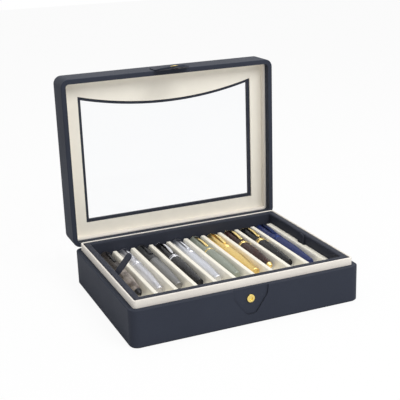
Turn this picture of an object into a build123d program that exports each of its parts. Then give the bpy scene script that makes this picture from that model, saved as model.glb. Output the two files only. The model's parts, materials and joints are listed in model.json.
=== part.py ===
"""Leather chest for ten pens: hinged window lid, lift-out tray with channels, well below."""

from build123d import *
from math import cos, radians, sin, sqrt, tan
from typing import NamedTuple
import os

# Origin at the centre of the underside, X to the right, Y to the back, Z up.
# The lid is drawn where it stands open, upright behind the base.

# chest body
width = 300.0
depth = 226.0
corner_radius = 10.4
wall_top = 46.8
leather = 1.2
ledge = 6.6
underside_rise = 1.0
felt_thickness = 1.8
felt_inset = 1.6
bottom_thickness = 4.0
bottom_edge_round = 0.8
wall_edge_round = 1.1
least_radius = 0.8

# lip that stands above the wall and lines the inside
lip_thickness = 2.4
lip_rise = 9.4
lip_round = 0.7
lip_inset = ledge + lip_thickness

# well under the tray
well_floor_thickness = 1.5
well_gap = 0.1
ledge_width = 3.9
well_height = 12.7

# tray
tray_gap = 0.4
rim_width = 8.4
rim_round = 2.0
tray_floor_thickness = 3.0
tray_inset = lip_inset + tray_gap
tray_inner = tray_inset + rim_width

# pen rest
pitch = 25.5
pens_held = 10
rest_gap = 0.3
rest_rear_gap = 3.6
ridge_drop = 13.2
channel_radius = 8.5
channel_floor = 4.8
channel_flare = 12.0
ridge_round = 2.3
ridge_end_round = 1.5

# pull tabs
tab_width = 14.0
tab_thickness = 1.6
tab_length = 34.0
tab_lean = 41.0
tab_wall_gap = 0.3
tab_rest_gap = 0.9
tab_rise = 2.0
tab_tip_radius = 5.5
tab_tuck = 0.7
tab_seat = 0.3

# lid
lid_height = 40.1
lid_wall = 3.8
lid_edge_round = 3.0
rim_edge_round = 1.0
nest_depth = 10.0
liner_thickness = 3.2
liner_round = 0.8
panel_depth = 19.2
panel_thickness = 2.0
sash_thickness = 3.9
glass_thickness = 2.5
glass_lap = 5.0
glass_gap = 0.2
reveal_step = 2.0
reveal_flare = 7.0
reveal_land = 0.9

# window in the lid, with its front edge bowed inwards
window_half = 124.5
window_rear = 87.0
bow_front = -70.0
bow_radius = 486.0
sash_step = 4.06

# hinges
hinge_back = 1.5
hinge_drop = 2.6
hinge_spacing = 180.0
hinge_length = 32.0
knuckle_radius = 2.2
knuckle_gap = 0.3
middle_knuckle = 10.0
pin_radius = 1.0
pin_gap = 0.05
pin_end_gap = 0.2
leaf_thickness = 1.1
leaf_gap = 0.1
leaf_height = 14.0
leaf_start = 2.8
scallop_gap = 0.3
stop_reach = 6.0
stop_thickness = 1.6
stop_width = 3.4
stop_gap = 0.1
screw_spacing = 20.0
screw_drop = 9.0
screw_radius = 1.0
screw_depth = 3.6
screw_head_radius = 1.9
screw_head_height = 0.7
pilot_gap = 0.05

# clasp
clasp_half = 23.5
clasp_shoulder_half = 22.0
clasp_shoulder = 35.0
clasp_toe_half = 6.0
clasp_toe = 12.8
clasp_shoulder_round = 10.0
clasp_toe_round = 8.0
recess_depth = 1.6
inlay_thickness = 0.8
snap_height = 33.0
snap_radius = 4.95
snap_thickness = 1.6
snap_bore = 2.4
snap_floor = 0.4
snap_round = 0.4
tongue_gap = 0.6
tongue_thickness = 2.4
tongue_rest = 0.3
tongue_lift = 15.0
tongue_top_gap = 0.3
tongue_pocket_gap = 0.45
tongue_pocket_depth = 1.6
stud_radius = 2.0
stud_length = 1.2
stud_flange = 4.2
stud_flange_thickness = 0.3
cap_radius = 5.6
cap_thickness = 1.7
cap_round = 0.9
fold_gap = 0.6
fold_pad_height = 24.0
fold_pad_thickness = 1.1
fold_pad_round = 6.0

# pens
pen_end_gap = 1.7
pen_seat = 0.3
pen_end_round = 0.6
pen_tip_round = 1.4
pen_taper_round = 250.0
clip_rise = 2.6
clip_thickness = 1.0
clip_foot = 1.4
clip_tip_gap = 0.35


class Pen(NamedTuple):
    """Sizes of one pen, measured from the end of its cap."""

    length: float
    cap_length: float
    cap_radius: float
    end_radius: float
    shoulder: float
    barrel_radius: float
    taper_start: float
    tip_radius: float
    ring: float
    clip_length: float
    clip_width: float
    finial: float
    nib_cone: float


PENS = {
    "pen_01": Pen(139.0, 60.0, 7.9, 6.6, 3.5, 7.7, 98.0, 5.0, 2.0, 42.0, 3.6, 0.0, 7.0),
    "pen_02": Pen(139.5, 58.0, 7.8, 6.4, 3.5, 7.5, 95.0, 4.6, 2.0, 40.0, 3.6, 0.0, 0.0),
    "pen_03": Pen(138.0, 52.0, 8.0, 7.2, 2.5, 7.6, 92.0, 4.6, 0.8, 40.0, 4.8, 0.0, 0.0),
    "pen_04": Pen(143.0, 60.0, 8.2, 5.8, 9.0, 7.9, 94.0, 5.0, 3.0, 44.0, 4.0, 2.0, 0.0),
    "pen_05": Pen(141.0, 56.0, 7.9, 6.8, 3.0, 7.6, 98.0, 4.8, 0.8, 44.0, 3.4, 0.0, 0.0),
    "pen_06": Pen(142.0, 58.0, 8.0, 6.4, 4.0, 7.8, 100.0, 4.8, 1.4, 46.0, 3.4, 1.6, 0.0),
    "pen_07": Pen(143.0, 60.0, 8.1, 6.2, 7.0, 7.8, 98.0, 5.0, 1.6, 44.0, 4.0, 2.0, 0.0),
    "pen_08": Pen(134.5, 56.0, 8.2, 5.8, 8.0, 7.9, 90.0, 4.6, 2.6, 42.0, 4.0, 2.0, 5.0),
    "pen_09": Pen(136.5, 58.0, 8.2, 5.8, 9.0, 7.9, 92.0, 5.0, 3.4, 43.0, 4.0, 2.0, 0.0),
    "pen_10": Pen(146.0, 58.0, 8.1, 6.2, 6.0, 7.8, 98.0, 4.8, 1.8, 44.0, 3.8, 1.6, 0.0),
}

# levels and planes worked out from the sizes above
lip_top = wall_top + lip_rise
board_low = felt_thickness
floor_low = board_low + bottom_thickness
well_low = floor_low + well_floor_thickness
tray_low = well_low + well_height
rest_low = tray_low + tray_floor_thickness
ridge_top = lip_top - ridge_drop
hinge_y = depth / 2 + hinge_back
hinge_z = wall_top - hinge_drop
rim_y = hinge_y + hinge_drop
lid_mid_z = hinge_z + hinge_y
lid_plane = Plane(origin=(0, rim_y, lid_mid_z), x_dir=(1, 0, 0), z_dir=(0, 1, 0))
frame_inset = leather + lid_wall
front = -depth / 2
channel_x = [pitch * (k - (pens_held - 1) / 2) for k in range(pens_held)]
sash_depth = panel_depth + panel_thickness
glass_depth = sash_depth + sash_thickness
skin_depth = lid_height - leather


def plan(inset, mode=Mode.ADD):
    """Rounded plan of the chest, drawn in by an inset."""
    radius = max(corner_radius - inset, least_radius)
    RectangleRounded(width - 2 * inset, depth - 2 * inset, radius, mode=mode)


def slab(plane, inset, thickness, mode=Mode.ADD):
    """Plate over the plan of the chest, drawn in by an inset."""
    with BuildSketch(plane) as outline:
        plan(inset)
    extrude(outline.sketch, amount=thickness, mode=mode)


def window(inset):
    """Window outline, drawn in by an inset, with its front edge bowed inwards."""
    half = window_half - inset
    rear = window_rear - inset
    radius = bow_radius + inset
    centre = bow_front - bow_radius
    corner = centre + sqrt(radius**2 - half**2)
    with BuildLine() as outline:
        Polyline((half, corner), (half, rear), (-half, rear), (-half, corner))
        ThreePointArc((-half, corner), (0, centre + radius), (half, corner))
    make_face(outline.edges())


def window_cut(plane, inset, thickness):
    """Cut the window outline through a plate."""
    with BuildSketch(plane) as outline:
        window(inset)
    extrude(outline.sketch, amount=thickness, mode=Mode.SUBTRACT)


def shield(inset, top):
    """Tongue-shaped outline of the clasp on the front wall, up to a level."""
    with BuildLine() as outline:
        Polyline(
            (clasp_half - inset, top),
            (clasp_shoulder_half - inset, clasp_shoulder),
            (clasp_toe_half - inset / 2, clasp_toe + inset),
            (-clasp_toe_half + inset / 2, clasp_toe + inset),
            (-clasp_shoulder_half + inset, clasp_shoulder),
            (-clasp_half + inset, top),
            close=True,
        )
    make_face(outline.edges())
    toe = vertices().group_by(Axis.Y)[0]
    fillet(toe, clasp_toe_round - inset / 2)
    shoulders = [v for v in vertices() if abs(v.Y - clasp_shoulder) < 0.01]
    fillet(shoulders, clasp_shoulder_round - inset)


def edges_at(part, axis, level):
    """Edges of a part that lie whole in a plane square to an axis."""
    return part.edges().filter_by_position(axis, level - 0.001, level + 0.001)


def export(piece, name):
    """Label a finished piece and write it to its own file."""
    piece.part.label = name
    export_step(piece.part, f"parts/{name}.step")


os.makedirs("parts", exist_ok=True)

# chest body ----------------------------------------------------------------

with BuildPart() as base_felt:
    slab(Plane.XY, felt_inset, felt_thickness)
export(base_felt, "base_felt")

recess_y = front + recess_depth
front_plane = Plane(origin=(0, front, 0), x_dir=(1, 0, 0), z_dir=(0, -1, 0))
recess_plane = Plane(origin=(0, recess_y, 0), x_dir=(1, 0, 0), z_dir=(0, -1, 0))

with BuildPart() as recess:
    with BuildSketch(front_plane.offset(leather)):
        shield(0, wall_top + leather)
    extrude(amount=-(recess_depth + leather))

with BuildPart() as inlay_space:
    with BuildSketch(front_plane):
        shield(0, wall_top - leather)
    extrude(amount=-(recess_depth + inlay_thickness))

hinge_x = [-hinge_spacing / 2, hinge_spacing / 2]
screw_x = [x + dx for x in hinge_x for dx in (-screw_spacing / 2, screw_spacing / 2)]
rear_leaf_y = depth / 2 + leaf_gap
pilot_depth = screw_depth + leaf_gap
base_screws = [(x, hinge_z - screw_drop) for x in screw_x]

with BuildPart() as base_leather:
    slab(Plane.XY.offset(underside_rise), 0, wall_top - underside_rise)
    fillet(base_leather.edges().group_by(Axis.Z)[-1], wall_edge_round)
    fillet(base_leather.edges().group_by(Axis.Z)[0], bottom_edge_round)
    slab(Plane.XY, leather, wall_top - leather, mode=Mode.SUBTRACT)
    slab(Plane.XY, ledge, wall_top, mode=Mode.SUBTRACT)
    add(recess.part, mode=Mode.SUBTRACT)
    for x in hinge_x:
        with BuildSketch(Plane(origin=(x, hinge_y, hinge_z), z_dir=(1, 0, 0))):
            Circle(knuckle_radius + scallop_gap)
        extrude(amount=hinge_length / 2 + scallop_gap, both=True, mode=Mode.SUBTRACT)
    with BuildSketch(Plane.XZ.offset(-depth / 2)):
        with Locations(*base_screws):
            Circle(screw_radius + pilot_gap)
    extrude(amount=pilot_depth, mode=Mode.SUBTRACT)
export(base_leather, "base_leather")

with BuildPart() as base_frame:
    slab(Plane.XY.offset(board_low), leather, wall_top - leather - board_low)
    slab(Plane.XY.offset(board_low), ledge, wall_top, mode=Mode.SUBTRACT)
    add(inlay_space.part, mode=Mode.SUBTRACT)
    for x in hinge_x:
        with BuildSketch(Plane(origin=(x, hinge_y, hinge_z), z_dir=(1, 0, 0))):
            Circle(knuckle_radius + scallop_gap)
        extrude(amount=hinge_length / 2 + scallop_gap, both=True, mode=Mode.SUBTRACT)
    with BuildSketch(Plane.XZ.offset(-depth / 2)):
        with Locations(*base_screws):
            Circle(screw_radius + pilot_gap)
    extrude(amount=pilot_depth, mode=Mode.SUBTRACT)
export(base_frame, "base_frame")

with BuildPart() as clasp_inlay:
    with BuildSketch(recess_plane):
        shield(0, wall_top - leather)
    extrude(amount=-inlay_thickness)
export(clasp_inlay, "clasp_inlay")

with BuildPart() as snap_socket:
    with BuildSketch(recess_plane):
        with Locations((0, snap_height)):
            Circle(snap_radius)
    extrude(amount=snap_thickness)
    fillet(snap_socket.edges().group_by(Axis.Y)[0], snap_round)
    with BuildSketch(recess_plane.offset(snap_floor)):
        with Locations((0, snap_height)):
            Circle(snap_bore)
    extrude(amount=snap_thickness, mode=Mode.SUBTRACT)
export(snap_socket, "snap_socket")

with BuildPart() as base_bottom:
    slab(Plane.XY.offset(board_low), ledge, bottom_thickness)
export(base_bottom, "base_bottom")

with BuildPart() as lip_liner:
    slab(Plane.XY.offset(floor_low), ledge, lip_top - floor_low)
    slab(Plane.XY.offset(floor_low), lip_inset, lip_top - floor_low, mode=Mode.SUBTRACT)
    fillet(lip_liner.edges().group_by(Axis.Z)[-1], lip_round)
export(lip_liner, "lip_liner")

with BuildPart() as well_floor:
    slab(Plane.XY.offset(floor_low), lip_inset + well_gap, well_floor_thickness)
export(well_floor, "well_floor")

with BuildPart() as tray_ledge:
    slab(Plane.XY.offset(well_low), lip_inset + well_gap, well_height)
    slab(Plane.XY.offset(well_low), lip_inset + well_gap + ledge_width, well_height, mode=Mode.SUBTRACT)
export(tray_ledge, "tray_ledge")

# tray ----------------------------------------------------------------------

with BuildPart() as tray_frame:
    slab(Plane.XY.offset(tray_low), tray_inset, lip_top - tray_low)
    slab(Plane.XY.offset(tray_low), tray_inner, lip_top - tray_low, mode=Mode.SUBTRACT)
    rim = tray_frame.edges().group_by(Axis.Z)[-1]
    fillet(rim, rim_round)
export(tray_frame, "tray_frame")

with BuildPart() as tray_floor:
    slab(Plane.XY.offset(tray_low), tray_inner, tray_floor_thickness)
export(tray_floor, "tray_floor")

rest_half = width / 2 - tray_inner - rest_gap
rest_front = front + tray_inner + rest_gap
rest_rear = depth / 2 - tray_inner - rest_rear_gap
channel_axis = rest_low + channel_floor + channel_radius
flare = radians(channel_flare)
tangent_x = channel_radius * cos(flare)
tangent_z = channel_axis - channel_radius * sin(flare)
mouth = tangent_x + (ridge_top - tangent_z) * tan(flare)

with BuildPart() as pen_rest:
    with BuildSketch(Plane(origin=(0, rest_front, 0), x_dir=(1, 0, 0), z_dir=(0, -1, 0))):
        with BuildLine():
            Polyline(
                (-rest_half, rest_low),
                (rest_half, rest_low),
                (rest_half, ridge_top),
                (-rest_half, ridge_top),
                close=True,
            )
        make_face()
        for x in channel_x:
            with BuildLine():
                Polyline(
                    (x - tangent_x, tangent_z),
                    (x - mouth, ridge_top),
                    (x + mouth, ridge_top),
                    (x + tangent_x, tangent_z),
                )
                ThreePointArc(
                    (x - tangent_x, tangent_z),
                    (x, channel_axis - channel_radius),
                    (x + tangent_x, tangent_z),
                )
            make_face(mode=Mode.SUBTRACT)
        crests = vertices().group_by(Axis.Y)[-1].sort_by(Axis.X)
        fillet(crests[1:-1], ridge_round)
    extrude(amount=-(rest_rear - rest_front))
    rear_edges = edges_at(pen_rest, Axis.Y, rest_rear)
    crest_edges = [e for e in rear_edges if e.center().Z > rest_low + channel_floor / 2]
    fillet(crest_edges, ridge_end_round)
    with BuildSketch(Plane.XY.offset(rest_low)):
        with Locations((rest_half - tab_tuck / 2 - tab_thickness / 2, 0)):
            Rectangle(tab_thickness + tab_tuck + 2 * tab_rest_gap, tab_width + 2 * tab_rest_gap)
    extrude(amount=ridge_top, mode=Mode.SUBTRACT)
export(pen_rest, "pen_rest")

tab_base_z = ridge_top + tab_rise
tab_hinge_x = width / 2 - tray_inner - tab_wall_gap - tab_thickness / 2
tab_axis = Plane(
    origin=(-tab_hinge_x, 0, tab_base_z),
    x_dir=(0, 1, 0),
    z_dir=(cos(radians(tab_lean)), 0, -sin(radians(tab_lean))),
)

with BuildPart() as tab_left:
    with BuildSketch(tab_axis):
        with Locations((0, tab_length / 2)):
            Rectangle(tab_width, tab_length)
        fillet(vertices().group_by(Axis.Y)[-1], tab_tip_radius)
    extrude(amount=tab_thickness / 2, both=True)
export(tab_left, "tab_left")

tuck_plane = Plane(origin=(tab_hinge_x, 0, rest_low), x_dir=(0, 1, 0), z_dir=(1, 0, 0))
tuck_length = lip_top - tab_tuck - rest_low - tab_seat
with BuildPart() as tab_right:
    with BuildSketch(tuck_plane):
        with Locations((0, tab_seat + tuck_length / 2)):
            Rectangle(tab_width, tuck_length)
        fillet(vertices().group_by(Axis.Y)[-1], tab_tip_radius)
    extrude(amount=tab_thickness / 2, both=True)
export(tab_right, "tab_right")

# lid -----------------------------------------------------------------------

with BuildPart() as lid_leather:
    slab(lid_plane, 0, lid_height)
    outer_edges = edges_at(lid_leather, Axis.Y, rim_y + lid_height)
    fillet(outer_edges, lid_edge_round)
    rim_edges = edges_at(lid_leather, Axis.Y, rim_y)
    fillet(rim_edges, rim_edge_round)
    slab(lid_plane, leather, skin_depth, mode=Mode.SUBTRACT)
    window_cut(lid_plane.offset(skin_depth), sash_step - reveal_step - reveal_flare, leather)
    pad_top = lid_mid_z - front
    with BuildSketch(Plane.XY.offset(pad_top)):
        with Locations((0, rim_y + fold_gap + fold_pad_height / 2)):
            Rectangle(2 * (clasp_half - tongue_gap), fold_pad_height)
        fillet(vertices().group_by(Axis.Y)[-1], fold_pad_round)
    extrude(amount=fold_pad_thickness)
    with BuildSketch(Plane.XY.offset(lid_mid_z - depth / 2)):
        with Locations(*[(x, hinge_y + screw_drop) for x in screw_x]):
            Circle(screw_radius + pilot_gap)
    extrude(amount=pilot_depth, mode=Mode.SUBTRACT)
export(lid_leather, "lid_leather")

with BuildPart() as lid_frame:
    slab(lid_plane.offset(leather), leather, skin_depth - leather)
    slab(lid_plane.offset(leather), frame_inset, skin_depth, mode=Mode.SUBTRACT)
    with BuildSketch(Plane.XY.offset(lid_mid_z - depth / 2)):
        with Locations(*[(x, hinge_y + screw_drop) for x in screw_x]):
            Circle(screw_radius + pilot_gap)
    extrude(amount=pilot_depth, mode=Mode.SUBTRACT)
export(lid_frame, "lid_frame")

with BuildPart() as lid_rim:
    slab(lid_plane, leather, nest_depth)
    slab(lid_plane.offset(leather), leather, nest_depth, mode=Mode.SUBTRACT)
    slab(lid_plane.offset(leather), frame_inset, nest_depth - leather)
    slab(lid_plane, frame_inset + leather, nest_depth, mode=Mode.SUBTRACT)
export(lid_rim, "lid_rim")

with BuildPart() as lid_liner:
    slab(lid_plane.offset(nest_depth), frame_inset, panel_depth - nest_depth)
    slab(lid_plane.offset(nest_depth), frame_inset + liner_thickness, panel_depth, mode=Mode.SUBTRACT)
    inner = edges_at(lid_liner, Axis.Y, rim_y + nest_depth)
    fillet(inner, liner_round)
export(lid_liner, "lid_liner")

with BuildPart() as lid_panel:
    slab(lid_plane.offset(panel_depth), frame_inset, panel_thickness)
    window_cut(lid_plane.offset(panel_depth), 0, panel_thickness)
export(lid_panel, "lid_panel")

with BuildPart() as window_sash:
    slab(lid_plane.offset(sash_depth), frame_inset, sash_thickness)
    window_cut(lid_plane.offset(sash_depth), sash_step, sash_thickness)
export(window_sash, "window_sash")

with BuildPart() as window_glass:
    with BuildSketch(lid_plane.offset(glass_depth)):
        window(sash_step - glass_lap)
    extrude(amount=glass_thickness)
export(window_glass, "window_glass")

with BuildPart() as lid_board:
    slab(lid_plane.offset(glass_depth), frame_inset, skin_depth - glass_depth)
    rebate = glass_thickness + glass_gap
    window_cut(lid_plane.offset(glass_depth), sash_step - glass_lap - glass_gap, rebate)
    window_cut(lid_plane.offset(glass_depth), sash_step - reveal_step, skin_depth)
    with BuildSketch(lid_plane.offset(glass_depth + rebate + reveal_land)):
        window(sash_step - reveal_step)
    with BuildSketch(lid_plane.offset(skin_depth)):
        window(sash_step - reveal_step - reveal_flare)
    loft(ruled=True, mode=Mode.SUBTRACT)
export(lid_board, "lid_board")

# hinges --------------------------------------------------------------------

side_knuckle = (hinge_length - middle_knuckle) / 2 - knuckle_gap
side_offset = (middle_knuckle + side_knuckle) / 2 + knuckle_gap

with BuildPart() as base_leaf:
    leaf_mid = (leaf_start + leaf_height) / 2
    with Locations(*[(x, rear_leaf_y + leaf_thickness / 2, hinge_z - leaf_mid) for x in hinge_x]):
        Box(hinge_length, leaf_thickness, leaf_height - leaf_start)
    for x in hinge_x:
        for side in (-1, 1):
            side_x = x + side * side_offset
            with Locations((side_x, rear_leaf_y + leaf_thickness / 2, hinge_z - leaf_start / 2)):
                Box(side_knuckle, leaf_thickness, leaf_start)
            with Locations((side_x, hinge_y, hinge_z)):
                Cylinder(knuckle_radius, side_knuckle, rotation=(0, 90, 0))
    arm_length = stop_reach + hinge_y + knuckle_radius - rear_leaf_y
    arm_top = hinge_z - leaf_start
    post_top = hinge_z + hinge_back - leaf_gap - leaf_thickness - stop_gap
    post_y = rear_leaf_y + arm_length - stop_thickness / 2
    for x in hinge_x:
        for side in (-1, 1):
            stop_x = x + side * (hinge_length - stop_width) / 2
            with Locations((stop_x, rear_leaf_y + arm_length / 2, arm_top - stop_thickness / 2)):
                Box(stop_width, arm_length, stop_thickness)
            with Locations((stop_x, post_y, (post_top + arm_top) / 2)):
                Box(stop_width, stop_thickness, post_top - arm_top)
    for x in hinge_x:
        with Locations((x, hinge_y, hinge_z)):
            Cylinder(pin_radius + pin_gap, 2 * hinge_length, rotation=(0, 90, 0), mode=Mode.SUBTRACT)
    with BuildSketch(Plane.XZ.offset(-depth / 2)):
        with Locations(*base_screws):
            Circle(screw_radius + pilot_gap)
    extrude(amount=-2 * leaf_thickness, mode=Mode.SUBTRACT)
export(base_leaf, "base_leaf")

# the lid's leaves lie level under its back, as the lid stands open
lid_leaf_z = hinge_z + hinge_back - leaf_gap - leaf_thickness / 2

with BuildPart() as lid_leaf:
    with Locations(*[(x, hinge_y + leaf_mid, lid_leaf_z) for x in hinge_x]):
        Box(hinge_length, leaf_height - leaf_start, leaf_thickness)
    with Locations(*[(x, hinge_y + leaf_start / 2, lid_leaf_z) for x in hinge_x]):
        Box(middle_knuckle, leaf_start, leaf_thickness)
    with Locations(*[(x, hinge_y, hinge_z) for x in hinge_x]):
        Cylinder(knuckle_radius, middle_knuckle, rotation=(0, 90, 0))
    with Locations(*[(x, hinge_y, hinge_z) for x in hinge_x]):
        Cylinder(pin_radius + pin_gap, hinge_length, rotation=(0, 90, 0), mode=Mode.SUBTRACT)
    with Locations(*[(x, hinge_y + screw_drop, lid_leaf_z) for x in screw_x]):
        Cylinder(screw_radius + pilot_gap, 2 * leaf_thickness, mode=Mode.SUBTRACT)
export(lid_leaf, "lid_leaf")

with BuildPart() as hinge_pin:
    with Locations(*[(x, hinge_y, hinge_z) for x in hinge_x]):
        Cylinder(pin_radius, hinge_length - pin_end_gap, rotation=(0, 90, 0))
export(hinge_pin, "hinge_pin")

screw_head_y = rear_leaf_y + leaf_thickness
with BuildPart() as base_screw:
    with BuildSketch(Plane.XZ.offset(-screw_head_y)):
        with Locations(*base_screws):
            Circle(screw_head_radius)
    extrude(amount=-screw_head_height)
    with BuildSketch(Plane.XZ.offset(-screw_head_y)):
        with Locations(*base_screws):
            Circle(screw_radius)
    extrude(amount=screw_depth)
export(base_screw, "base_screw")

screw_head_z = lid_leaf_z - leaf_thickness / 2
with BuildPart() as lid_screw:
    with BuildSketch(Plane.XY.offset(screw_head_z)):
        with Locations(*[(x, hinge_y + screw_drop) for x in screw_x]):
            Circle(screw_head_radius)
    extrude(amount=-screw_head_height)
    with BuildSketch(Plane.XY.offset(screw_head_z)):
        with Locations(*[(x, hinge_y + screw_drop) for x in screw_x]):
            Circle(screw_radius)
    extrude(amount=screw_depth)
export(lid_screw, "lid_screw")

# clasp tongue, drawn flat as it hangs from the open lid, then lifted ---------

back_face = recess_depth - tongue_rest
front_face = tongue_thickness - back_face
fold_z = lid_mid_z - front + front_face
fold_y = rim_y + fold_gap / 2
lift = Plane(
    origin=(0, fold_y, fold_z),
    x_dir=(1, 0, 0),
    z_dir=(0, sin(radians(tongue_lift)), cos(radians(tongue_lift))),
)
tongue_y = rim_y - wall_top - fold_y

with BuildSketch() as outline:
    shield(tongue_gap, wall_top - tongue_top_gap)

with BuildPart() as tongue:
    with BuildSketch(lift):
        with Locations((0, tongue_y)):
            add(outline.sketch)
    extrude(amount=-tongue_thickness)
    with BuildSketch(lift.offset(-tongue_thickness)):
        with Locations((0, tongue_y + snap_height)):
            Circle(snap_radius + tongue_pocket_gap)
    extrude(amount=tongue_pocket_depth, mode=Mode.SUBTRACT)
export(tongue, "tongue")

with BuildPart() as tongue_cap:
    with BuildSketch(lift):
        with Locations((0, tongue_y + snap_height)):
            Circle(cap_radius)
    extrude(amount=cap_thickness)
    fillet(tongue_cap.edges().group_by(Axis.Z)[-1], cap_round)
export(tongue_cap, "tongue_cap")

stud_plane = lift.offset(tongue_pocket_depth - tongue_thickness)
with BuildPart() as tongue_stud:
    with BuildSketch(stud_plane):
        with Locations((0, tongue_y + snap_height)):
            Circle(stud_flange)
    extrude(amount=-stud_flange_thickness)
    with BuildSketch(stud_plane):
        with Locations((0, tongue_y + snap_height)):
            Circle(stud_radius)
    extrude(amount=-stud_flange_thickness - stud_length)
export(tongue_stud, "tongue_stud")

# pens ----------------------------------------------------------------------

pen_rear = depth / 2 - tray_inner - pen_end_gap
channel_low = channel_axis - channel_radius

for (name, pen), x in zip(PENS.items(), channel_x):
    axis_z = channel_low + pen.cap_radius + pen_seat
    level = Plane(origin=(x, pen_rear, axis_z))
    spin = Axis((x, pen_rear, axis_z), (0, 1, 0))
    body_end = -pen.length + pen.nib_cone
    ring_end = -pen.cap_length - pen.ring
    with BuildPart() as cap:
        with BuildSketch(level):
            with BuildLine():
                Polyline(
                    (0, -pen.finial),
                    (pen.end_radius, -pen.finial),
                    (pen.cap_radius, -pen.finial - pen.shoulder),
                    (pen.cap_radius, -pen.cap_length),
                    (0, -pen.cap_length),
                    close=True,
                )
            make_face()
            widest = vertices().group_by(Axis.X)[-1]
            fillet(widest.sort_by(Axis.Y)[-1], pen.shoulder)
            end = vertices().group_by(Axis.Y)[-1].sort_by(Axis.X)[-1]
            fillet(end, pen_end_round)
        revolve(axis=spin)
    export(cap, f"{name}_cap")
    with BuildPart() as barrel:
        with BuildSketch(level):
            with BuildLine():
                Polyline(
                    (0, ring_end),
                    (pen.barrel_radius, ring_end),
                    (pen.barrel_radius, -pen.taper_start),
                    (pen.tip_radius, body_end),
                    (0, body_end),
                    close=True,
                )
            make_face()
            widest = vertices().group_by(Axis.X)[-1]
            fillet(widest.sort_by(Axis.Y)[0], pen_taper_round)
            if not pen.nib_cone:
                tip = vertices().group_by(Axis.Y)[0].sort_by(Axis.X)[-1]
                fillet(tip, pen_tip_round)
        revolve(axis=spin)
    export(barrel, f"{name}_barrel")
    with BuildPart() as trim:
        with BuildSketch(level):
            with Locations((pen.cap_radius / 2, -pen.cap_length - pen.ring / 2)):
                Rectangle(pen.cap_radius, pen.ring)
        revolve(axis=spin)
        if pen.finial:
            with BuildSketch(level):
                with BuildLine():
                    Polyline(
                        (0, 0),
                        (pen.end_radius / 2, 0),
                        (pen.end_radius, -pen.finial),
                        (0, -pen.finial),
                        close=True,
                    )
                make_face()
            revolve(axis=spin)
        if pen.nib_cone:
            with BuildSketch(level):
                with BuildLine():
                    Polyline(
                        (0, body_end),
                        (pen.tip_radius, body_end),
                        (pen.tip_radius / 2, -pen.length),
                        (0, -pen.length),
                        close=True,
                    )
                make_face()
            revolve(axis=spin)
        with BuildSketch(Plane(origin=(x, pen_rear, axis_z), x_dir=(0, 1, 0), z_dir=(1, 0, 0))):
            clip_root = -pen.finial - pen.shoulder / 2
            clip_end = clip_root - pen.clip_length
            low = pen.cap_radius + clip_tip_gap
            high = pen.cap_radius + clip_rise
            middle = (clip_root + clip_end) / 2
            with BuildLine():
                Line((clip_root, 0), (clip_root, high - clip_thickness))
                ThreePointArc(
                    (clip_root, high - clip_thickness),
                    (middle, high),
                    (clip_end, low + clip_thickness),
                )
                Line((clip_end, low + clip_thickness), (clip_end, low))
                ThreePointArc(
                    (clip_end, low),
                    (middle, high - clip_thickness),
                    (clip_root - clip_foot, high - 2 * clip_thickness),
                )
                Line((clip_root - clip_foot, high - 2 * clip_thickness), (clip_root - clip_foot, 0))
                Line((clip_root - clip_foot, 0), (clip_root, 0))
            make_face()
        extrude(amount=pen.clip_width / 2, both=True)
        add(cap.part, mode=Mode.SUBTRACT)
    export(trim, f"{name}_trim")
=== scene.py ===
"""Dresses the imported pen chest: leather, suede, brass, glass and ten pens, camera and light."""

import json
import logging
import math
from dataclasses import dataclass, field
from enum import Enum

import bmesh
import bpy
from mathutils import Matrix, Vector


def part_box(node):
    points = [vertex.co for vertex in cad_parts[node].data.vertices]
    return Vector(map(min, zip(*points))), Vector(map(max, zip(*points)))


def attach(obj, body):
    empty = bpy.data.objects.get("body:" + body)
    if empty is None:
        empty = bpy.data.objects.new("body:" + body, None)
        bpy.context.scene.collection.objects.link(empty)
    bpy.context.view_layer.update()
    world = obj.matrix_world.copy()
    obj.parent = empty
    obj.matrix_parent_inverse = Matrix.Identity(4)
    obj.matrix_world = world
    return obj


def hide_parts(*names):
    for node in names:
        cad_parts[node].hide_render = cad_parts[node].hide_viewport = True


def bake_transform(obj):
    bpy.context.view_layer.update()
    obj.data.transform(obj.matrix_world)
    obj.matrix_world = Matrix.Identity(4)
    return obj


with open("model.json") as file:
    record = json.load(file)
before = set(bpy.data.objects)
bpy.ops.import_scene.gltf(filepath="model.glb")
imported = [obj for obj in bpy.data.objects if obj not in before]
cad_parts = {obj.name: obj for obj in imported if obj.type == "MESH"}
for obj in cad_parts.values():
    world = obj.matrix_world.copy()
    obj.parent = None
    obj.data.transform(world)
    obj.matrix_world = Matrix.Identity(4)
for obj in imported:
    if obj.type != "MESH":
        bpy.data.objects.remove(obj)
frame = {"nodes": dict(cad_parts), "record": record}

log = logging.getLogger("pen_chest")
MM = 0.001
WHITE = (1.0, 1.0, 1.0, 1.0)
SAME_POINT = 0.001 * MM
CREASE_ANGLE = math.radians(35)
RGB = tuple[float, float, float]


def linear(red: int, green: int, blue: int) -> RGB:
    """Turns an 8-bit screen colour into linear light, by the sRGB curve.

    Args:
        red, green, blue: the channels from 0 to 255.

    Returns:
        The three channels as linear light.
    """
    def one(value: int) -> float:
        """Linear value of one channel."""
        part = value / 255
        return part / 12.92 if part <= 0.04045 else ((part + 0.055) / 1.055) ** 2.4
    return one(red), one(green), one(blue)


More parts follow.
